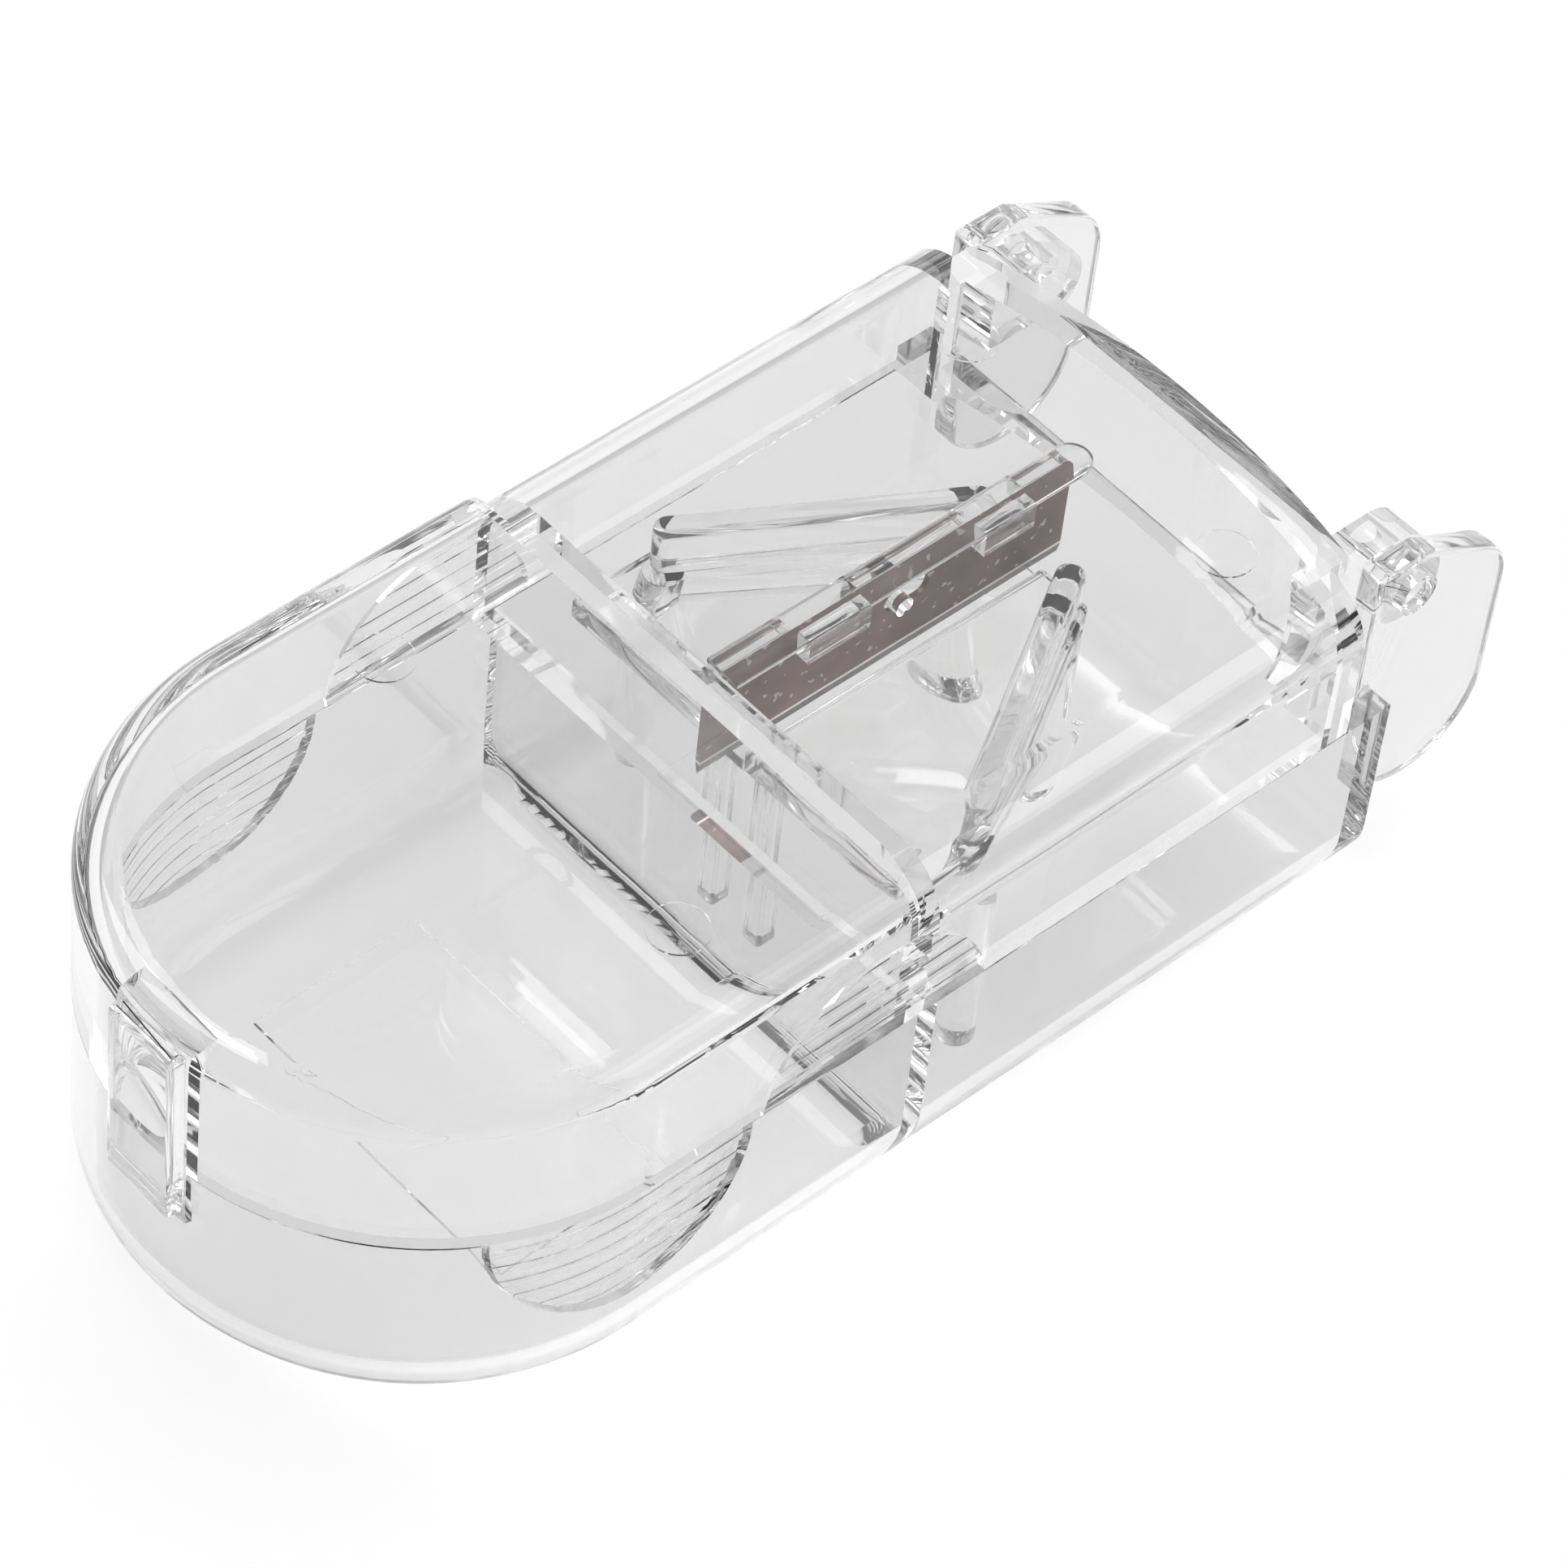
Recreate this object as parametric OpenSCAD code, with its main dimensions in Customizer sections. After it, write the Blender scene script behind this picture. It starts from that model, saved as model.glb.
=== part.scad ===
// Clear pill splitter: a two-part hinged case with a storage bin at the round nose,
// a V-shaped pill seat in the rear bay and a steel blade hung under the lid.
// Units are millimetres. +Y runs from the round nose to the hinge, +Z is up and
// the origin is the centre of the base, under the middle of the whole object.

/* [Case] */
// Width of the case, and twice the radius of its round nose
body_w = 42; // [38:0.5:46]
// Length of the case from the nose to its rear wall
body_l = 83; // [80:0.5:86]
// Height of the closed case
total_h = 28.5; // [27:0.5:30]
// Height of the parting line between the lower case and the lid
split_h = 16.5; // [15.5:0.25:17]
// Thickness of the clear plastic walls
wall = 1.6; // [1.4:0.1:1.8]
// Radius of the long lower edge of the case
base_r = 5; // [4:0.5:6]
// Radius of the long upper edge of the lid, over the cutting bay
lid_r = 4.5; // [4:0.25:5]
// Radius of the upper edge of the lid, over the storage bin
nose_edge_r = 2.4; // [2:0.2:3]
// Distance from the nose to the rear face of the bulkhead
bulkhead_y = 44.6; // [43:0.2:46]
// Thickness of the rib across the lid above the bulkhead
rib_t = 2.5; // [2:0.1:3]

/* [Hinge] */
// Distance from the nose to the hinge axis
hinge_y = 85.4; // [85:0.1:86]
// Height of the hinge axis
hinge_z = 23.9; // [23:0.1:24.5]
// Radius of each hinge pin
pin_r = 1.5; // [1.2:0.1:1.8]
// Radial clearance of a pin in its ear
pin_gap = 0.05; // [0.03:0.01:0.08]
// Thickness of each hinge ear
ear_t = 2; // [1.8:0.1:2.2]
// Distance from the nose to the rear edge of the ears
ear_rear_y = 94; // [93:0.5:95]

/* [Blade] */
// Length of the blade
blade_l = 29; // [27:0.5:30]
// Height of the cutting edge in the closed case
edge_z = 18.6; // [18.4:0.1:18.8]
// Thickness of the blade
blade_t = 0.4; // [0.3:0.05:0.5]
// Distance from the nose to the front end of the blade
blade_y = 44.3; // [44.2:0.1:45]

/* [Pill seat] */
// Height of the table that the pill lies on
table_z = 19; // [18.9:0.1:19.2]
// Height of the top of the V fences
fence_z = 22.4; // [21.5:0.1:23]
// Angle of each fence from the blade
fence_angle = 30; // [27:1:33]
// Thickness of each fence
fence_t = 2; // [1.6:0.2:2.2]
// Length of each fence between the centres of its round ends
fence_l = 20; // [16:1:21]

/* [Hidden] */

$fn = 64;
big = 200;
sliver = 0.01;
arc_steps = 20;

nose_r = body_w / 2;
latch_proud = 0.8;
half_l = (ear_rear_y - latch_proud) / 2;
clear_blue = [0.86, 0.9, 0.92, 0.45];
steel_grey = [0.52, 0.47, 0.46];

// Ears and hinge
ear_out_x = nose_r - 1.4;
ear_in_x = ear_out_x - ear_t;
ear_low_z = 5.4;
ear_top_z = total_h - 0.9;
lug_in_x = ear_in_x - 3.3;
lug_out_x = ear_in_x - 0.4;
lug_r = 3;

// The lid narrows between the ears
neck_y = 79;
rear_arc_r = 76;
lid_rear_y = 82.6;
seam_gap = 0.15;

// Scallops for finger and thumb on both sides
scallop_r = 9.1;
scallop_depth = 0.7;
low_scallop_y = 19.9;
high_scallop_y = 38.8;
ridge_pitch = 1.5;
ridge_h = 0.55;
ridge_low = 0.6;

// Latch at the nose
latch_w = 6;
latch_t = 1.4;
latch_top_z = 27;
latch_low_z = 12.5;
latch_gap = 0.35;
nib_d = 0.35;
nib_h = 0.9;

// Rear end of each fence
fence_x = 4.2;
fence_y = 70;

// Blade holder
holder_w = 2.8;
holder_z = 24.6;
holder_back_z = 26.1;
slot_gap = 0.06;

// Everything is drawn from the nose and then centred on the whole length
module centred() {
    translate([0, -half_l, 0])
        children();
}

// Section of the case: a rectangle with rounded lower and upper corners
module section(hw, z0, z1, r0, r1) {
    translate([-hw, z0 + r0])
        square([2 * hw, z1 - z0 - r0 - r1]);
    if (r0 > 0) {
        translate([-hw + r0, z0])
            square([2 * (hw - r0), r0 + sliver]);
        for (side = [-1, 1])
            translate([side * (hw - r0), z0 + r0])
                circle(r0);
    }
    if (r1 > 0) {
        translate([-hw + r1, z1 - r1 - sliver])
            square([2 * (hw - r1), r1 + sliver]);
        for (side = [-1, 1])
            translate([side * (hw - r1), z1 - r1])
                circle(r1);
    }
}

// Case form with a half-round nose, inset evenly from the outer walls
module pod(inset, y_end, z0, z1, r0, r1) {
    hw = nose_r - inset;
    translate([0, nose_r, 0])
        rotate([0, 0, 180])
            rotate_extrude(angle = 180)
                intersection() {
                    section(hw, z0, z1, r0, r1);
                    square([big, big]);
                }
    translate([0, y_end, 0])
        rotate([90, 0, 0])
            linear_extrude(y_end - nose_r)
                section(hw, z0, z1, r0, r1);
}

// Straight length of the same section between two distances from the nose
module run(inset, y_start, y_end, z0, z1, r0, r1) {
    translate([0, y_end, 0])
        rotate([90, 0, 0])
            linear_extrude(y_end - y_start)
                section(nose_r - inset, z0, z1, r0, r1);
}

// Round bar along X through a point of the side view
module bar_x(y, z, r, x0, x1) {
    translate([x0, y, z])
        rotate([0, 90, 0])
            cylinder(r = r, h = x1 - x0);
}

// Ridged finger scallop: a shallow round recess with level ridges, on both sides
module scallops(y, z, z_low, z_high, r0, r1) {
    difference() {
        bar_x(y, z, scallop_r, -big / 2, big / 2);
        pod(scallop_depth, body_l, z_low, z_high, r0, r1);
        intersection() {
            pod(ridge_low, body_l, z_low, z_high, r0, r1);
            union() {
                for (step = [-6:6])
                    if (abs(step) > 0)
                        translate([-big / 2, 0, z + step * ridge_pitch - ridge_h / 2])
                            cube([big, body_l, ridge_h]);
            }
        }
    }
}

// Rounded lower rear corner of the case, as a block to keep
module rear_trim(y_end, r) {
    translate([-big / 2, 0, 0])
        rotate([90, 0, 90])
            linear_extrude(big) {
                translate([-10, 0])
                    square([y_end - r + 10, total_h]);
                translate([-10, r])
                    square([y_end + 10, total_h]);
                translate([y_end - r, r])
                    circle(r);
            }
}

// Lower case: storage bin in the nose, bulkhead, and open bay behind it
module body_shell() {
    in_r = base_r - wall;
    color(clear_blue)
        centred()
            difference() {
                intersection() {
                    pod(0, body_l, 0, split_h, base_r, 0);
                    rear_trim(body_l, 4);
                }
                intersection() {
                    pod(wall, bulkhead_y - wall, wall, split_h + 1, in_r, 0);
                    translate([0, 0, wall])
                        rear_trim(bulkhead_y - wall, 3);
                }
                intersection() {
                    run(wall, bulkhead_y, body_l - wall, wall, split_h + 1, in_r, 0);
                    translate([0, -wall, wall])
                        rear_trim(body_l, 2.4);
                }
                scallops(low_scallop_y, split_h - 0.3, 0, split_h, base_r, 0);
                // recess for the latch, with the land that its nib snaps under
                translate([-latch_w / 2 - latch_gap, -1, latch_low_z - 0.6])
                    cube([latch_w + 2 * latch_gap, 2.05, split_h]);
                translate([-latch_w / 2 - latch_gap, -1, latch_low_z - 0.6])
                    cube([latch_w + 2 * latch_gap, 2.25, nib_h + 0.9]);
            }
    // slightly raised panel on the floor of the bin
    color(clear_blue)
        centred()
            translate([-11.8, 18, wall - sliver])
                cube([23.6, 13.2, 0.3]);
}

// Points along an arc about a centre, from one angle to another
function arc(centre, r, from, to) =
    [for (i = [0 : arc_steps])
        let (a = from + (to - from) * i / arc_steps)
        centre + r * [cos(a), sin(a)]];

// Side view of an ear: a D shape behind the case, with its top sloping down to the rear
module ear_outline() {
    low_r = 6;
    top_r = 4.8;
    front_y = 81.4;
    low_c = [ear_rear_y - low_r, ear_low_z + low_r];
    top_c = [ear_rear_y - top_r, ear_top_z - 7.4];
    knee = [85.6, ear_top_z];
    away = knee - top_c;
    slope_start = atan2(away[1], away[0]) - acos(top_r / norm(away));
    wall_meet = 360 - acos((body_l - low_c[0]) / low_r);
    polygon(concat(arc(low_c, low_r, wall_meet, 360),
                   arc(top_c, top_r, 0, slope_start),
                   [knee, [front_y, ear_top_z], [front_y, split_h + 0.2],
                    [body_l, split_h + 0.2]]));
}

// Hinge ear: a cheek fixed to the rear corner of the case, with a bore for its pin
module ear(x0) {
    color(clear_blue)
        centred()
            difference() {
                translate([x0, 0, 0])
                    rotate([90, 0, 90])
                        linear_extrude(ear_t)
                            ear_outline();
                bar_x(hinge_y, hinge_z, pin_r + pin_gap, x0 - 1, x0 + ear_t + 1);
            }
}

module hinge_ear_left() {
    ear(-ear_out_x);
}

module hinge_ear_right() {
    ear(ear_in_x);
}

// One V fence on the table, leaning away from the blade toward the nose
module fence(side) {
    color(clear_blue)
        centred()
            translate([side * fence_x, fence_y, table_z])
                rotate([0, 0, side * fence_angle])
                    translate([0, -fence_l, 0])
                        fence_block();
}

// Upright wall with round ends, along +Y from the front end
module fence_block() {
    h = fence_z - table_z;
    translate([-fence_t / 2, 0, 0])
        cube([fence_t, fence_l, h]);
    for (end = [0, fence_l])
        translate([0, end, 0])
            cylinder(r = fence_t / 2, h = h);
}

module fence_left() {
    fence(-1);
}

module fence_right() {
    fence(1);
}

// Table of the pill seat, with a groove for the blade, skirts and legs to the floor
module pill_table() {
    table_t = 1.8;
    groove_w = 1.4;
    skirt_z = 14.4;
    under_z = table_z - table_t;
    leg_r = fence_t / 2 + 0.35;
    post_w = 1.6;
    post_x = 2.2;
    table_y = 47.5;
    margin = fence_t / 2 + 0.3;
    front_x = fence_x + fence_l * sin(fence_angle);
    front_y = fence_y - fence_l * cos(fence_angle);
    side_x = front_x + margin;
    rear_y = fence_y + margin;
    rear_x = fence_x + margin / cos(fence_angle) - margin * tan(fence_angle);
    side_y = rear_y - (side_x - rear_x) / tan(fence_angle);
    color(clear_blue)
        centred()
            difference() {
                union() {
                    translate([0, 0, under_z])
                        linear_extrude(table_t)
                            polygon([[-rear_x, rear_y], [rear_x, rear_y], [side_x, side_y],
                                     [side_x, table_y], [-side_x, table_y], [-side_x, side_y]]);
                    // skirt below each fence
                    for (side = [-1, 1])
                        translate([side * fence_x, fence_y, skirt_z])
                            rotate([0, 0, side * fence_angle])
                                translate([-fence_t / 2, -fence_l, 0])
                                    cube([fence_t, fence_l, under_z - skirt_z + sliver]);
                    // legs below the fence ends, and a post on each side of the blade's groove
                    for (side = [-1, 1]) {
                        translate([side * fence_x, fence_y, wall])
                            cylinder(r = leg_r, h = under_z - wall + sliver);
                        translate([side * front_x, front_y, wall])
                            cylinder(r = leg_r, h = under_z - wall + sliver);
                        translate([side * post_x - post_w / 2, table_y + 0.4, wall])
                            cube([post_w, post_w, under_z - wall + sliver]);
                    }
                }
                translate([-groove_w / 2, 40, edge_z - 0.5])
                    cube([groove_w, 40, 10]);
            }
}

// Lid outside: fine edge over the bin, fuller edge over the bay, narrow neck at the ears
module lid_outer() {
    rib_y = bulkhead_y - 0.8 - rib_t;
    intersection() {
        union() {
            pod(0, rib_y, split_h + seam_gap, total_h, 0, nose_edge_r);
            run(0, rib_y - sliver, neck_y, split_h + seam_gap, total_h, 0, lid_r);
            intersection() {
                run(0, neck_y - sliver, body_l + 2, split_h + seam_gap, total_h, 0, lid_r);
                translate([-lug_out_x, 0, 0])
                    cube([2 * lug_out_x, big, big]);
            }
        }
        translate([0, lid_rear_y - rear_arc_r, 0])
            cylinder(r = rear_arc_r, h = total_h + 1, $fn = 128);
    }
}

// Hollow of the lid over the bay, closed at the rear by a bowed wall
module lid_bay_hollow() {
    intersection() {
        union() {
            run(wall, bulkhead_y - 0.8, neck_y - wall, 0, total_h - wall, 0, lid_r - wall);
            translate([-lug_out_x + wall, bulkhead_y, 0])
                cube([2 * (lug_out_x - wall), big, total_h - wall]);
        }
        translate([0, lid_rear_y - rear_arc_r, 0])
            cylinder(r = rear_arc_r - wall - 0.6, h = total_h, $fn = 128);
    }
}

// Lid: hinged cover of the bin and the bay, with the lugs that carry its pins
module lid_shell() {
    rib_y = bulkhead_y - 0.8 - rib_t;
    color(clear_blue)
        centred() {
            difference() {
                union() {
                    lid_outer();
                    for (side = [-1, 1])
                        lid_lug(side);
                }
                pod(wall, rib_y, 0, total_h - wall, 0, nose_edge_r - 1);
                lid_bay_hollow();
                scallops(high_scallop_y, split_h - 1.2, split_h, total_h, 0, nose_edge_r);
                bar_x(hinge_y, hinge_z, pin_r, -big / 2, big / 2);
                // groove along the middle of the band over the bulkhead
                translate([-8.4, rib_y + 0.8, total_h - 0.45])
                    cube([18.8, 0.9, 1]);
                // slot for the latch
                translate([-latch_w / 2 - latch_gap, -1, 0])
                    cube([latch_w + 2 * latch_gap, 3.5, latch_top_z + 0.15]);
            }
            // round ejector pads under the top
            for (side = [-1, 1]) {
                translate([side * 13.5, 28.7, total_h - wall - 0.15])
                    cylinder(r = 2, h = 0.2);
                translate([side * 11.7, 75.4, total_h - wall - 0.15])
                    cylinder(r = 2, h = 0.2);
            }
        }
}

// Lug behind the lid's rear wall, inside the ear
module lid_lug(side) {
    x0 = side > 0 ? lug_in_x : -lug_out_x;
    bar_x(hinge_y, hinge_z, lug_r, x0, x0 + lug_out_x - lug_in_x);
    translate([x0, 80, hinge_z - lug_r])
        cube([lug_out_x - lug_in_x, hinge_y - 80, 2 * lug_r]);
}

// Hinge pin from the lid's lug into the ear's bore
module hinge_pin(side) {
    x0 = side > 0 ? lug_in_x : -ear_out_x;
    color(clear_blue)
        centred()
            bar_x(hinge_y, hinge_z, pin_r, x0, x0 + ear_out_x - lug_in_x);
}

module hinge_pin_left() {
    hinge_pin(-1);
}

module hinge_pin_right() {
    hinge_pin(1);
}

// Distances along the blade where the holder grips it from the right-hand side
function right_jaws() = [[50, 55.3], [64.7, 69.2]];

// Blade holder: a bar under the lid whose jaws grip the blade from alternate sides
module blade_holder() {
    bar_y = blade_y - 0.2;
    bar_l = blade_l + 1.6;
    top_z = total_h - wall;
    color(clear_blue)
        centred()
            difference() {
                union() {
                    translate([-holder_w / 2, bar_y, holder_z])
                        cube([holder_w, bar_l - holder_w / 2, top_z - holder_z]);
                    translate([0, bar_y + bar_l - holder_w / 2, holder_z])
                        cylinder(r = holder_w / 2, h = top_z - holder_z);
                }
                // slit for the blade
                translate([-blade_t / 2 - slot_gap, bar_y - 1, 0])
                    cube([blade_t + 2 * slot_gap, blade_l + 1.2 + slot_gap, top_z - 0.4]);
                // right-hand jaws stay only at their own places
                translate([blade_t / 2 + slot_gap - sliver, bar_y - 1, 0])
                    right_gaps();
                // left-hand side is cut back where the right-hand jaws are
                for (jaw = right_jaws())
                    translate([-holder_w / 2 - 1, jaw[0], 0])
                        cube([holder_w / 2 + 1 - blade_t / 2 - slot_gap + sliver,
                              jaw[1] - jaw[0], holder_back_z]);
            }
}

// Gaps between the right-hand jaws, in the frame of the bar's front end
module right_gaps() {
    bar_y = blade_y - 1.2;
    difference() {
        cube([holder_w, blade_l + 3, holder_back_z]);
        for (jaw = right_jaws())
            translate([-1, jaw[0] - bar_y, -1])
                cube([holder_w + 2, jaw[1] - jaw[0], big]);
    }
}

// Blade: ground steel strip with a bevelled edge and an oval hole
module blade() {
    top_z = total_h - wall - 0.5;
    bevel_h = 0.9;
    hole_y = 59.5;
    hole_z = 23.9;
    hole_r = 0.9;
    hole_l = 3.8;
    color(steel_grey)
        centred()
            difference() {
                translate([0, blade_y + blade_l, 0])
                    rotate([90, 0, 0])
                        linear_extrude(blade_l)
                            polygon([[0.02, edge_z], [blade_t / 2, edge_z + bevel_h],
                                     [blade_t / 2, top_z], [-blade_t / 2, top_z],
                                     [-blade_t / 2, edge_z + bevel_h], [-0.02, edge_z]]);
                for (end = [-1, 1])
                    bar_x(hole_y + end * (hole_l / 2 - hole_r), hole_z, hole_r, -2, 2);
                translate([-2, hole_y - hole_l / 2 + hole_r, hole_z - hole_r])
                    cube([4, hole_l - 2 * hole_r, 2 * hole_r]);
            }
}

// Peg of the holder through the blade's oval hole
module blade_peg() {
    peg_y = 58.6;
    peg_z = 23.9;
    color(clear_blue)
        centred() {
            bar_x(peg_y, peg_z, 0.7, -1.4, 1);
            translate([-1.4, peg_y - 0.7, peg_z])
                cube([1.1, 1.4, holder_z - peg_z]);
        }
}

// Latch: a springy tongue at the nose, bending at its round root, whose nib
// snaps under the land on the case
module latch_tab() {
    root_r = latch_t / 2;
    root_y = root_r - latch_proud;
    color(clear_blue)
        centred() {
            bar_x(root_y, latch_top_z - root_r, root_r, -latch_w / 2, latch_w / 2);
            translate([-latch_w / 2, -latch_proud, latch_low_z])
                cube([latch_w, latch_t, latch_top_z - root_r - latch_low_z]);
            translate([-latch_w / 2, latch_t - latch_proud - sliver, latch_low_z + 0.2])
                cube([latch_w, nib_d + sliver, nib_h]);
        }
}

body_shell();
hinge_ear_left();
hinge_ear_right();
pill_table();
fence_left();
fence_right();
lid_shell();
hinge_pin_left();
hinge_pin_right();
blade_holder();
blade();
blade_peg();
latch_tab();
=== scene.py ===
import math

import bpy
import numpy as np
from mathutils import Matrix, Vector


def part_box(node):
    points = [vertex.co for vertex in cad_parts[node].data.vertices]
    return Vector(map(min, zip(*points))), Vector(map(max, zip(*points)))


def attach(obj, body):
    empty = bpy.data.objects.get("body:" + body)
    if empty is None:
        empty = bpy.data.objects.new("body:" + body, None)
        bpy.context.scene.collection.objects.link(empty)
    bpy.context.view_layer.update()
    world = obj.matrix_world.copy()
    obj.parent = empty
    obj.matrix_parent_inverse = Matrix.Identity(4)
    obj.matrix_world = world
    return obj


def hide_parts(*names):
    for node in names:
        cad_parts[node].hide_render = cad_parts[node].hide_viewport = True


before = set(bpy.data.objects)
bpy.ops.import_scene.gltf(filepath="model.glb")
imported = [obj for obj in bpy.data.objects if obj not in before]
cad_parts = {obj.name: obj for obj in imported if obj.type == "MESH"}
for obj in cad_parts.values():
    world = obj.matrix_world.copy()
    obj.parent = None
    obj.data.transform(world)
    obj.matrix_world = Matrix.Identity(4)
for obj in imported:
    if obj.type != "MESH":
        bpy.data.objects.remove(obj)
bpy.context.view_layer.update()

FENCE_ANGLE = math.radians(30)
FENCE_THICK = 0.002
LATCH_THICK = 0.0014
LUG_GAP = 0.0004  # between a hinge lug of the lid and the ear beside it
CRISP = 0.00002  # edge radius where a detail grows out of another one
CORNER_STEPS = 9
SHARP_FROM = 32  # degrees between two faces from which their edge stays sharp
BOUNCES = 28  # long light paths inside the clear walls
SINK = 0.00012  # how far a moulded detail runs into the wall it grows from
NODE_PLASTIC = {"body_shell": "case", "pill_table": "cradle", "lid_shell": "lid"}


# ---------------------------------------------------------------- shader maths

class Sock:
    """One output socket, with arithmetic that adds Math nodes."""

    def __init__(self, tree, socket):
        self.tree = tree
        self.socket = socket

    def _math(self, operation, *values):
        node = self.tree.nodes.new("ShaderNodeMath")
        node.operation = operation
        for slot, value in zip(node.inputs, values):
            if isinstance(value, Sock):
                self.tree.links.new(value.socket, slot)
            else:
                slot.default_value = value
        return Sock(self.tree, node.outputs[0])

    def __add__(self, other):
        return self._math("ADD", self, other)

    def __radd__(self, other):
        return self._math("ADD", other, self)

    def __sub__(self, other):
        return self._math("SUBTRACT", self, other)

    def __rsub__(self, other):
        return self._math("SUBTRACT", other, self)

    def __mul__(self, other):
        return self._math("MULTIPLY", self, other)

    def __rmul__(self, other):
        return self._math("MULTIPLY", other, self)

    def __truediv__(self, other):
        return self._math("DIVIDE", self, other)

    def __pow__(self, other):
        return self._math("POWER", self, other)

    def step(self, low, high):
        """0 below low, 1 above high, and a smooth ramp between them."""
        node = self.tree.nodes.new("ShaderNodeMapRange")
        node.interpolation_type = "SMOOTHSTEP"
        self.tree.links.new(self.socket, node.inputs["Value"])
        node.inputs["From Min"].default_value = low
        node.inputs["From Max"].default_value = high
        return Sock(self.tree, node.outputs["Result"])


class Finish:
    """A new material, and the one method that adds its nodes."""

    def __init__(self, name):
        self.material = bpy.data.materials.new(name)
        self.material.use_nodes = True
        self.tree = self.material.node_tree
        self.tree.nodes.clear()

    @classmethod
    def on(cls, tree):
        """The same helper on a node tree that is already there."""
        helper = cls.__new__(cls)
        helper.tree = tree
        return helper

    def node(self, kind, settings=None, out=0, **values):
        node = self.tree.nodes.new(kind)
        for key, value in (settings or {}).items():
            if key == "stops":
                ramp = node.color_ramp
                while len(ramp.elements) < len(value):
                    ramp.elements.new(0.5)
                for element, (place, colour) in zip(ramp.elements, value):
                    element.position = place
                    element.color = colour
            else:
                setattr(node, key, value)
        for key, value in values.items():
            numbered = key[0] == "i" and key[1:].isdigit()
            slot = node.inputs[int(key[1:]) if numbered else key.replace("_", " ")]
            if isinstance(value, Sock):
                self.tree.links.new(value.socket, slot)
            else:
                slot.default_value = value
        return Sock(self.tree, node.outputs[out])

    def done(self, shader):
        end = self.tree.nodes.new("ShaderNodeOutputMaterial")
        self.tree.links.new(shader.socket, end.inputs["Surface"])
        return self.material


def clear_plastic(name, depth_and_shade):
    """Moulded clear styrene with faint flow ripples and fine scuffs; the grey of its tint is painted
    shade set per part, and 1 absorbs no light.
    """
    f = Finish(name)
    place = f.node("ShaderNodeTexCoord", out=3)
    flow = f.node("ShaderNodeTexNoise", Vector=place, Scale=90.0, Detail=2.0, Roughness=0.4)
    scuff = f.node("ShaderNodeTexNoise", Vector=place, Scale=1400.0, Detail=3.0, Roughness=0.6)
    rough = 0.012 + 0.03 * scuff.step(0.62, 0.8)
    relief = flow + scuff.step(0.66, 0.8) * 0.02
    bump = f.node("ShaderNodeBump", Strength=0.05, Distance=0.0004, Height=relief)
    plastic = f.node("ShaderNodeBsdfPrincipled", Base_Color=(depth_and_shade, depth_and_shade, depth_and_shade, 1), Roughness=rough,
                     IOR=1.49, Transmission_Weight=1.0, Normal=bump)
    ghost = f.node("ShaderNodeBsdfTransparent", Color=(0.98, 0.98, 0.98, 1))
    shadow = f.node("ShaderNodeLightPath", out=1)
    return f.done(f.node("ShaderNodeMixShader", i0=shadow, i1=plastic, i2=ghost))


def blade_steel():
    """Rolled steel: warm grey with an oil bloom and fine specks; the ground edge is smoother and
    darkened by painted shade, under a painted highlight along its shoulder.
    """
    f = Finish("blade_steel_brushed")
    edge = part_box("blade")[0].z
    place = f.node("ShaderNodeTexCoord", out=3)
    height = f.node("ShaderNodeSeparateXYZ", out=2, Vector=place)
    grain_space = f.node("ShaderNodeMapping", Vector=place, Scale=(1, 60, 4000))
    grain = f.node("ShaderNodeTexNoise", Vector=grain_space, Scale=1.0, Detail=4.0, Roughness=0.7)
    bloom = f.node("ShaderNodeTexNoise", Vector=place, Scale=160.0, Detail=3.0)
    speck = f.node("ShaderNodeTexNoise", Vector=place, Scale=1500.0, Detail=1.0)
    # Painted shade: the lowest 0.75 mm of the blade gets a darker steel colour; the lower roughness
    # there is the smoother grind.
    ground_and_shade = 1 - height.step(edge + 0.00075, edge + 0.00085)
    above = height.step(edge + 0.001, edge + 0.00115)
    # Painted highlight: a thin band just above the ground edge gets a near-white steel colour.
    painted_shoulder_highlight = height.step(edge + 0.00082, edge + 0.0009) * (1 - above)
    rolled = f.node("ShaderNodeMix", {"data_type": "RGBA"}, out=2, i0=bloom.step(0.35, 0.7),
                    i6=(0.15, 0.1, 0.096, 1), i7=(0.24, 0.165, 0.158, 1))
    dusted = f.node("ShaderNodeMix", {"data_type": "RGBA"}, out=2, i0=speck.step(0.66, 0.72) * 0.5,
                    i6=rolled, i7=(0.7, 0.68, 0.66, 1))
    with_painted_shade = f.node("ShaderNodeMix", {"data_type": "RGBA"}, out=2, i0=ground_and_shade, i6=dusted,
                       i7=(0.1, 0.085, 0.085, 1))
    colour = f.node("ShaderNodeMix", {"data_type": "RGBA"}, out=2, i0=painted_shoulder_highlight, i6=with_painted_shade,
                    i7=(0.85, 0.82, 0.8, 1))
    bump = f.node("ShaderNodeBump", Strength=0.12, Distance=0.00005, Height=grain)
    steel = f.node("ShaderNodeBsdfPrincipled", Base_Color=colour, Metallic=1.0,
                   Roughness=0.3 + 0.15 * grain - 0.15 * ground_and_shade, Normal=bump)
    return f.done(steel)


def floor_paper():
    """Pale seamless paper with a faint tooth."""
    f = Finish("studio_paper")
    place = f.node("ShaderNodeTexCoord", out=3)
    tooth = f.node("ShaderNodeTexNoise", Vector=place, Scale=900.0, Detail=3.0)
    bump = f.node("ShaderNodeBump", Strength=0.05, Distance=0.0001, Height=tooth)
    return f.done(f.node("ShaderNodeBsdfPrincipled", Base_Color=(0.93, 0.93, 0.93, 1), Roughness=0.9,
                         Normal=bump))


# ---------------------------------------------------------------- studio

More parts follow.
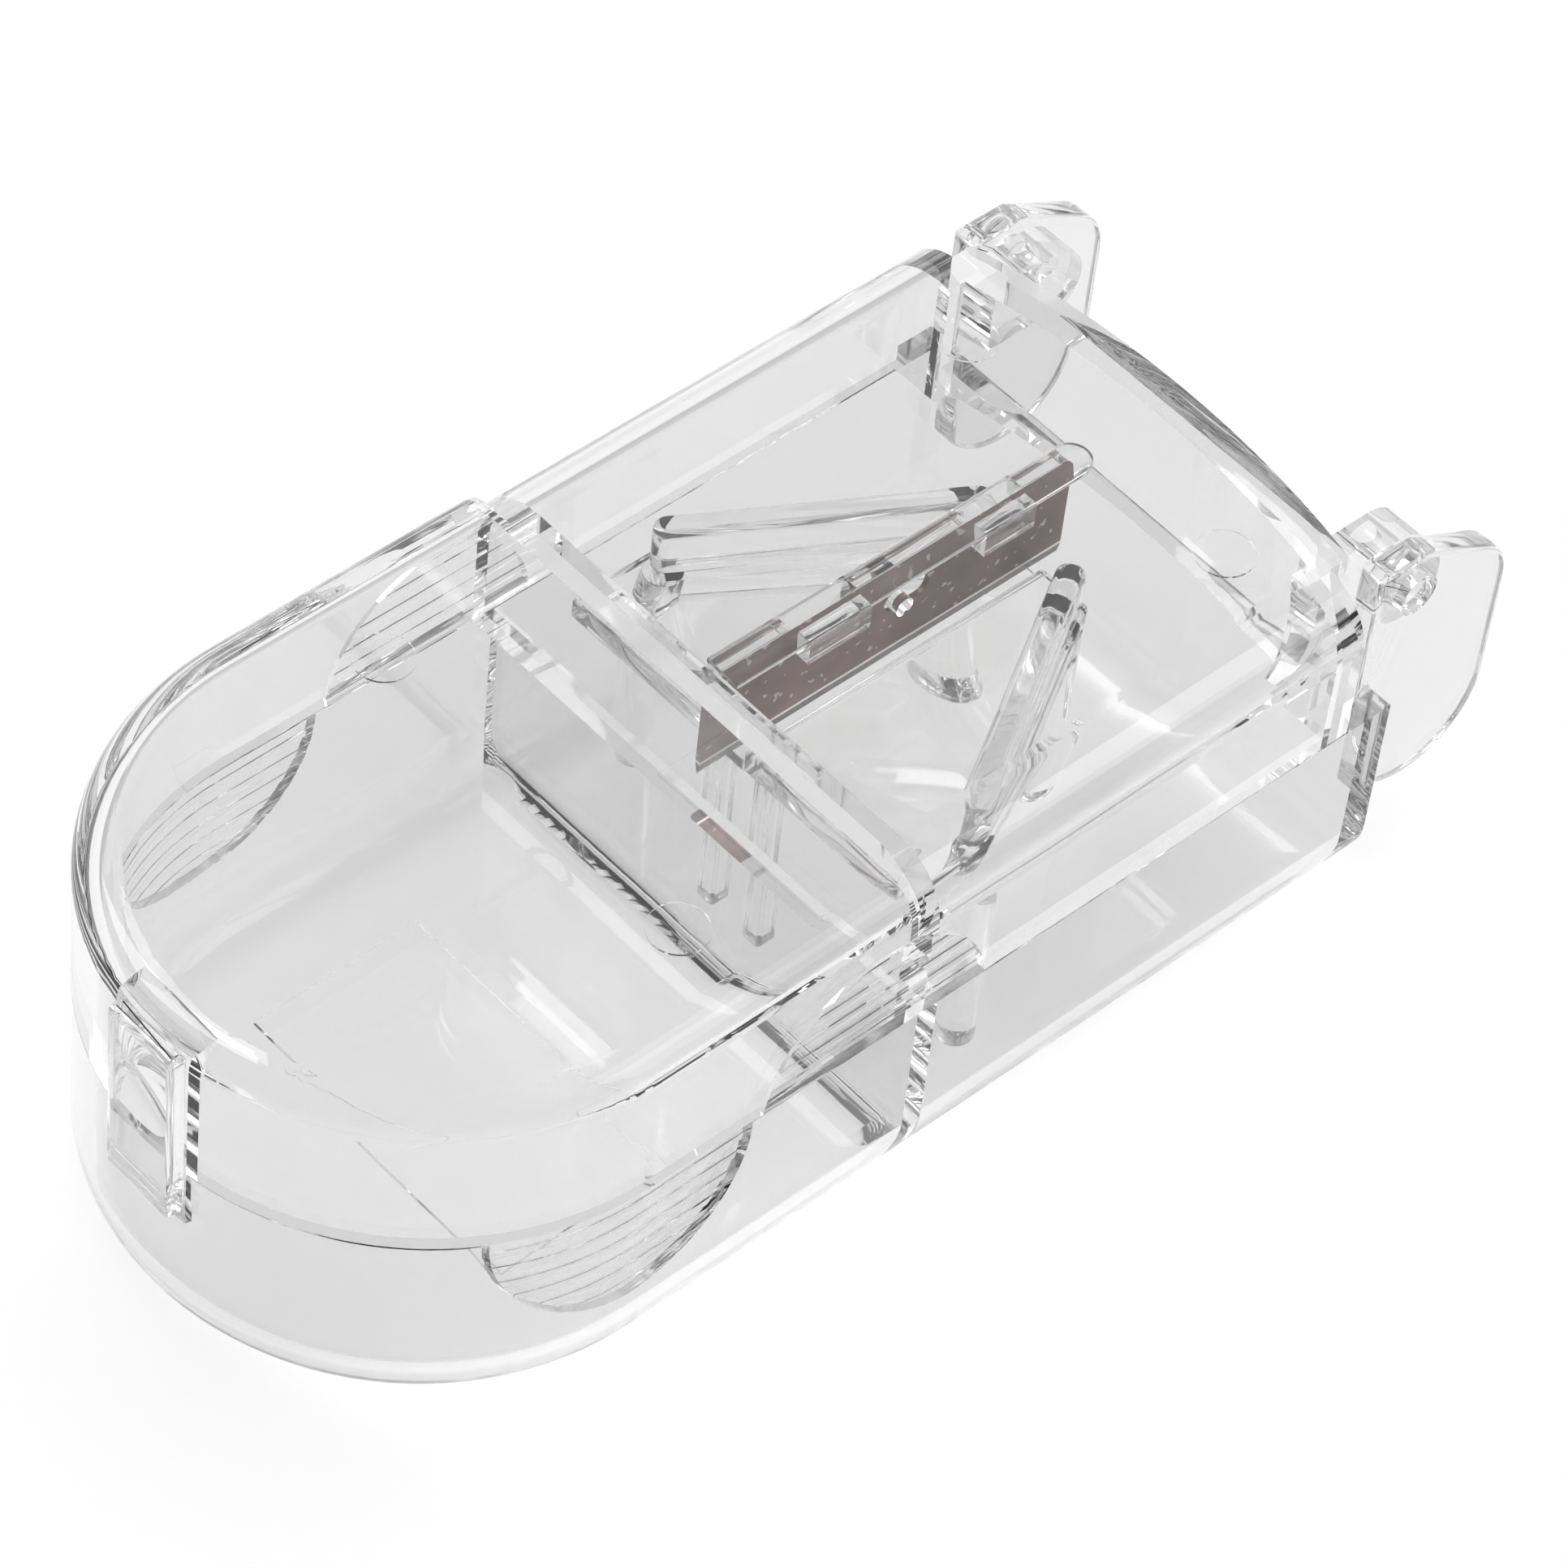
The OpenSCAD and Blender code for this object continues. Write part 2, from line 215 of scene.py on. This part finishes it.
def studio():
    """Paper floor, white surroundings and two soft lamps."""
    size = 3.0
    below_base = -0.0001
    rows = np.linspace(-size, size, 3)
    grid_x, grid_y = np.meshgrid(rows, rows)
    points = np.stack([grid_x.ravel(), grid_y.ravel(), np.full(grid_x.size, below_base)], 1)
    faces = [(0, 1, 4, 3), (1, 2, 5, 4), (3, 4, 7, 6), (4, 5, 8, 7)]
    mesh = bpy.data.meshes.new("floor")
    mesh.from_pydata(points.tolist(), [], faces)
    floor = bpy.data.objects.new("floor", mesh)
    bpy.context.scene.collection.objects.link(floor)
    mesh.materials.append(floor_paper())

    world = bpy.data.worlds.new("studio")
    bpy.context.scene.world = world
    world.use_nodes = True
    tree = world.node_tree
    sky = Finish.on(tree)
    direction = sky.node("ShaderNodeTexCoord", out=0)
    height = sky.node("ShaderNodeSeparateXYZ", out=2, Vector=direction)
    stops = [(place, (grey, grey, grey, 1)) for place, grey in ((0.0, 0.72), (0.25, 0.88), (0.7, 1.0))]
    glow = sky.node("ShaderNodeValToRGB", {"stops": stops}, Fac=height)
    background = tree.nodes["Background"]
    tree.links.new(glow.socket, background.inputs["Color"])
    background.inputs["Strength"].default_value = 0.8

    for name, place, size, power in (("key", (-0.35, -0.15, 0.6), 0.35, 1.7),
                                     ("fill", (0.5, 0.35, 0.45), 0.4, 0.8)):
        data = bpy.data.lights.new(name, "AREA")
        data.size = size
        data.energy = power
        lamp = bpy.data.objects.new(name, data)
        bpy.context.scene.collection.objects.link(lamp)
        lamp.location = place
        lamp.rotation_euler = (Vector((0, 0, 0)) - Vector(place)).to_track_quat("-Z", "Y").to_euler()
    scene = bpy.context.scene
    scene.view_settings.view_transform = "Standard"
    scene.cycles.max_bounces = BOUNCES
    scene.cycles.transmission_bounces = BOUNCES
    scene.cycles.transparent_max_bounces = BOUNCES
    scene.cycles.glossy_bounces = BOUNCES
    scene.cycles.diffuse_bounces = 3


def camera():
    """Long lens looking down over the right side of the nose, rolled a little."""
    azimuth, elevation, roll = (math.radians(a) for a in (43.346, 48.757, 6.612))
    distance = 0.425459
    back = Vector((math.sin(azimuth) * math.cos(elevation), -math.cos(azimuth) * math.cos(elevation),
                   math.sin(elevation)))
    right = Vector((math.cos(azimuth), math.sin(azimuth), 0))
    up = back.cross(right)
    rolled_right = math.cos(roll) * right + math.sin(roll) * up
    rolled_up = -math.sin(roll) * right + math.cos(roll) * up
    data = bpy.data.cameras.new("camera")
    data.sensor_width = 36.0
    data.lens = 157.2
    data.shift_x = 0.0274
    data.shift_y = 0.0086
    eye = bpy.data.objects.new("camera", data)
    bpy.context.scene.collection.objects.link(eye)
    target = Vector((0, 0.0004, 0.014))
    turn = Matrix((rolled_right, rolled_up, back)).transposed().to_4x4()
    eye.matrix_world = Matrix.Translation(target + distance * back) @ turn
    bpy.context.scene.camera = eye


# ---------------------------------------------------------------- mesh helpers

def mesh_piece(name, points, blocks, material, body, node):
    """A finished piece: smooth mesh at the origin that stands for one CAD node."""
    mesh = bpy.data.meshes.new(name)
    mesh.from_pydata(points.tolist(), [], sum((block.tolist() for block in blocks), []))
    mesh.polygons.foreach_set("use_smooth", np.ones(len(mesh.polygons), bool))
    mesh.update()
    piece = bpy.data.objects.new(name, mesh)
    bpy.context.scene.collection.objects.link(piece)
    mesh.materials.append(material)
    mesh.set_sharp_from_angle(angle=math.radians(SHARP_FROM))
    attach(piece, body)
    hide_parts(node)


def arc_points(centre, radius, start, end, count):
    """Points at even angles along an arc, in degrees."""
    angle = np.radians(np.linspace(start, end, count))
    return np.stack([centre[0] + radius * np.cos(angle), centre[1] + radius * np.sin(angle)], 1)


def resample(outline, count):
    """Even points along a closed outline; the point nearest to each corner moves onto it."""
    closed = np.vstack([outline, outline[:1]])
    step = np.hypot(*np.diff(closed, axis=0).T)
    along = np.concatenate([[0], np.cumsum(step)])
    even = np.linspace(0, along[-1], count, endpoint=False)
    for corner in along[:-1]:
        even[np.argmin(np.abs(even - corner))] = corner
    return np.stack([np.interp(even, along, closed[:, k]) for k in (0, 1)], 1)


def inset(outline, distance):
    """A counterclockwise outline moved inwards: each point goes along the mitre of its two edges."""
    ahead = np.roll(outline, -1, 0) - outline
    behind = outline - np.roll(outline, 1, 0)
    ahead /= np.maximum(np.hypot(*ahead.T), 1e-12)[:, None]
    behind /= np.maximum(np.hypot(*behind.T), 1e-12)[:, None]
    left_a = np.stack([-ahead[:, 1], ahead[:, 0]], 1)
    left_b = np.stack([-behind[:, 1], behind[:, 0]], 1)
    mitre = left_a + left_b
    mitre /= np.maximum((mitre * left_a).sum(1), 0.35)[:, None]
    return outline + distance * mitre


def plate(outline, low, high, low_edge, high_edge, bore=None):
    """Rings of a plate: the outline rises from low to high, with a quarter round at each face.

    Returns points (rings x outline, 3) and blocks of faces: the walls, then both caps. A bore gives
    it a round hole instead of caps.
    """
    turn = np.radians(np.linspace(0, 90, 5))
    rings = [(low_edge * (1 - math.sin(t)), low + low_edge * (1 - math.cos(t))) for t in turn]
    rings += [(high_edge * (1 - math.cos(t)), high - high_edge * (1 - math.sin(t))) for t in turn]
    layers = [np.column_stack([inset(outline, d), np.full(len(outline), h)]) for d, h in rings]
    if bore:
        centre, radius = bore
        away = outline - np.array(centre)
        ring = np.array(centre) + radius * away / np.hypot(*away.T)[:, None]
        layers += [np.column_stack([ring, np.full(len(ring), h)]) for h in (high, low)]
    count = len(outline)
    here = np.arange(count)
    ahead = (here + 1) % count
    last = (len(layers) - 1) * count
    lower = np.arange(0, last + count if bore else last, count)[:, None]
    upper = (lower + count) % (last + count)
    walls = np.stack([lower + here, lower + ahead, upper + ahead, upper + here], 2).reshape(-1, 4)
    blocks = [walls] if bore else [walls, np.array([here[::-1], last + here])]
    return np.vstack(layers), blocks


def merge(parts):
    """The points and face blocks of several plates as one."""
    starts = np.cumsum([0] + [len(points) for points, _ in parts])
    blocks = [block + start for (_, some), start in zip(parts, starts) for block in some]
    return np.vstack([points for points, _ in parts]), blocks


def bar_outline(half_w, front, rear, round_front, round_rear):
    """Counterclockwise outline of a bar along Y with round or square ends."""
    parts = []
    if round_rear:
        parts.append(arc_points((0, rear - half_w), half_w, 0, 180, 17))
    else:
        parts.append(np.array([[half_w, rear], [-half_w, rear]]))
    if round_front:
        parts.append(arc_points((0, front + half_w), half_w, 180, 360, 17))
    else:
        parts.append(np.array([[-half_w, front], [half_w, front]]))
    return np.vstack(parts)


def rounded(corners, radius):
    """Counterclockwise outline with each convex corner swapped for an arc of the given radius."""
    corners = np.array(corners, float)
    ahead = np.roll(corners, -1, 0) - corners
    behind = corners - np.roll(corners, 1, 0)
    start = np.arctan2(behind[:, 1], behind[:, 0]) - math.pi / 2
    turn = (np.arctan2(ahead[:, 1], ahead[:, 0]) - math.pi / 2 - start) % (2 * math.pi)
    ahead /= np.hypot(*ahead.T)[:, None]
    behind /= np.hypot(*behind.T)[:, None]
    reach = radius * np.tan(turn / 2)
    tangent = corners - behind * reach[:, None]
    inward = np.stack([-behind[:, 1], behind[:, 0]], 1)
    centre = tangent + radius * inward
    angle = start[:, None] + turn[:, None] * np.linspace(0, 1, CORNER_STEPS)
    arcs = centre[:, None, :] + radius * np.stack([np.cos(angle), np.sin(angle)], 2)
    return arcs.reshape(-1, 2)


# ---------------------------------------------------------------- pieces

def spun(outline, turn):
    """An outline turned about the origin."""
    spin = np.array([[math.cos(turn), -math.sin(turn)], [math.sin(turn), math.cos(turn)]])
    return outline @ spin.T


def fence(side, material):
    """Upright wall of the pill seat: a round-ended bar turned about its rear end."""
    low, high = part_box("fence_right")
    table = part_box("pill_table")[1].z
    half, top_edge = FENCE_THICK / 2, 0.0005
    length = (high.y - low.y - FENCE_THICK) / math.cos(FENCE_ANGLE)
    outline = bar_outline(half, -length - half, half, True, True)
    pivot = np.array([side * (low.x + half), high.y - half])
    outline = spun(outline, side * FENCE_ANGLE) + pivot
    points, blocks = plate(outline, table - SINK, high.z, CRISP, top_edge)
    name = "fence_right" if side > 0 else "fence_left"
    mesh_piece("moulded_" + name, points, blocks, material, "case", name)


def cradle(material):
    """Pill table in two halves beside the blade's groove, with skirts, legs and posts.

    Each part is an outline raised between two heights with rounded edges; feet run into the floor.
    """
    low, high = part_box("pill_table")
    right_low, right_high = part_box("fence_right")
    fence_half, angle = FENCE_THICK / 2, FENCE_ANGLE
    leg_r = fence_half + 0.00035
    margin, groove_half, thick = 0.0013, 0.0007, 0.0018
    edge, web_edge = 0.0003, 0.0001
    skirt_low, skirt_length = 0.0144, 0.02
    post_half, post_x, post_y = 0.0008, 0.0022, low.y + 0.0012
    under = high.z - thick
    rear = np.array([right_low.x + fence_half, right_high.y - fence_half])
    front = np.array([right_high.x - fence_half, right_low.y + fence_half])
    rear_x = rear[0] + margin / math.cos(angle) - margin * math.tan(angle)
    side_y = high.y - (high.x - rear_x) / math.tan(angle)
    groove_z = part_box("blade")[0].z - 0.0005
    parts = []
    half = [(groove_half, low.y), (high.x, low.y), (high.x, side_y), (rear_x, high.y),
            (groove_half, high.y)]
    web = rounded([(-groove_half - SINK, low.y), (groove_half + SINK, low.y),
                   (groove_half + SINK, high.y), (-groove_half - SINK, high.y)], web_edge)
    parts.append(plate(web, under, groove_z, web_edge, web_edge))
    foot = low.z - SINK
    for side in (-1, 1):
        mirror = np.array([side, 1])
        order = slice(None, None, side)
        top = rounded((np.array(half) * mirror)[order], edge)
        parts.append(plate(top, under, high.z, edge, edge))
        skirt = resample(bar_outline(fence_half, -skirt_length, 0.0, False, False), 40)
        skirt = spun(skirt, side * angle) + rear * mirror
        parts.append(plate(skirt, skirt_low, under + SINK, edge, CRISP))
        for centre in (rear, front):
            leg = arc_points(centre * mirror, leg_r, 0, 360, 41)[:-1]
            parts.append(plate(leg, foot, under + SINK, CRISP, CRISP))
        left, right = side * post_x - post_half, side * post_x + post_half
        post = rounded([(left, post_y - post_half), (right, post_y - post_half),
                        (right, post_y + post_half), (left, post_y + post_half)], edge)
        parts.append(plate(post, foot, under + SINK, CRISP, CRISP))
    points, blocks = merge(parts)
    mesh_piece("moulded_pill_table", points, blocks, material, "case", "pill_table")


def ear(side, material):
    """D-shaped hinge cheek: two arcs joined by straights, with a bore for the pin."""
    name = "hinge_ear_right" if side > 0 else "hinge_ear_left"
    low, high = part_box(name)
    pin_low, pin_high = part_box("hinge_pin_right")
    bore_r, edge = 0.00155, 0.00035
    low_r, top_r, top_drop, knee_back = 0.006, 0.0048, 0.0074, 0.0026
    body_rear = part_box("body_shell")[1].y
    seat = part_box("body_shell")[1].z + 0.0002
    bore = ((pin_low.y + pin_high.y) / 2, (pin_low.z + pin_high.z) / 2)
    low_c = (high.y - low_r, low.z + low_r)
    top_c = (high.y - top_r, high.z - top_drop)
    knee = (body_rear + knee_back, high.z)
    away = (knee[0] - top_c[0], knee[1] - top_c[1])
    slope = math.degrees(math.atan2(away[1], away[0]) - math.acos(top_r / math.hypot(*away)))
    sunk = body_rear - SINK
    meet = 360 - math.degrees(math.acos((sunk - low_c[0]) / low_r))
    outline = np.vstack([arc_points(low_c, low_r, meet, 360, 30),
                         arc_points(top_c, top_r, 0, slope, 16),
                         [knee, (low.y, high.z), (low.y, seat), (sunk, seat)]])
    outline = resample(outline, 160)
    points, blocks = plate(outline, low.x, high.x, edge, edge, (bore, bore_r))
    mesh_piece("moulded_" + name, points[:, [2, 0, 1]], blocks, material, "case", name)


def pin(side, material):
    """Stub pin from the lid's lug through the ear, with rounded ends."""
    name = "hinge_pin_right" if side > 0 else "hinge_pin_left"
    low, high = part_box(name)
    lug_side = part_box("hinge_ear_right")[0].x - LUG_GAP - SINK
    start, end = (lug_side, high.x) if side > 0 else (low.x, -lug_side)
    centre = ((low.y + high.y) / 2, (low.z + high.z) / 2)
    outline = arc_points(centre, (high.z - low.z) / 2, 0, 360, 49)[:-1]
    points, blocks = plate(outline, start, end, 0.0002, 0.0002)
    mesh_piece("moulded_" + name, points[:, [2, 0, 1]], blocks, material, "lid", name)


def holder(material):
    """Bar under the lid whose jaws grip the blade from alternate sides."""
    low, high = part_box("blade_holder")
    blade_low, blade_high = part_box("blade")
    half_w, half_t = (high.x - low.x) / 2, (blade_high.x - blade_low.x) / 2 + 0.00005
    web_low = blade_high.z + 0.00003
    bar = bar_outline(half_w, low.y, high.y, False, True)
    parts = [plate(bar, web_low, high.z + SINK, 0.00025, CRISP)]
    jaw_ends = blade_low.y + np.array([0.0057, 0.011, 0.0204, 0.0249])
    edges = np.concatenate([[low.y], jaw_ends, [blade_high.y]])
    gap = 0.0001
    for k in range(len(edges) - 1):
        side = 1 if k % 2 else -1
        front, rear = edges[k] + gap, edges[k + 1] - gap
        x0, x1 = sorted((side * half_t, side * half_w))
        outline = np.array([[x1, front], [x1, rear], [x0, rear], [x0, front]])
        outline = resample(outline, 48)
        parts.append(plate(outline, low.z, web_low + SINK, 0.00018, CRISP))
    points, blocks = merge(parts)
    mesh_piece("moulded_blade_holder", points, blocks, material, "lid", "blade_holder")


def latch(material):
    """Springy tongue with rounded edges, and the nib that snaps under the case near its foot."""
    low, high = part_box("latch_tab")
    back = low.y + LATCH_THICK
    tongue = rounded([(low.x, low.y), (high.x, low.y), (high.x, back), (low.x, back)], 0.0004)
    parts = [plate(tongue, low.z, high.z, 0.0004, 0.0005)]
    inner_x, nib_edge = high.x - 0.0002, 0.0001
    nib_low, nib_high = low.z + 0.0003, low.z + 0.0011
    nib = rounded([(-inner_x, back - SINK), (inner_x, back - SINK), (inner_x, high.y),
                   (-inner_x, high.y)], nib_edge)
    parts.append(plate(nib, nib_low, nib_high, nib_edge, nib_edge))
    points, blocks = merge(parts)
    mesh_piece("moulded_latch_tab", points, blocks, material, "latch", "latch_tab")


camera()
studio()
# Painted shade: one clear styrene gets a different grey tint per part, darkest on the case, so each
# region comes out at its own grey.
clear = {part: clear_plastic(f"{part}_clear_styrene", depth_and_shade)
         for part, depth_and_shade in (("case", 0.83), ("lid", 0.885), ("cradle", 0.99), ("holder", 0.95),
                             ("latch", 0.9))}
steel = blade_steel()
for name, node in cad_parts.items():
    node.data.materials.clear()
    node.data.materials.append(steel if name == "blade" else clear[NODE_PLASTIC.get(name, "holder")])
for side in (-1, 1):
    fence(side, clear["cradle"])
    ear(side, clear["case"])
    pin(side, clear["lid"])
holder(clear["holder"])
latch(clear["latch"])
cradle(clear["cradle"])
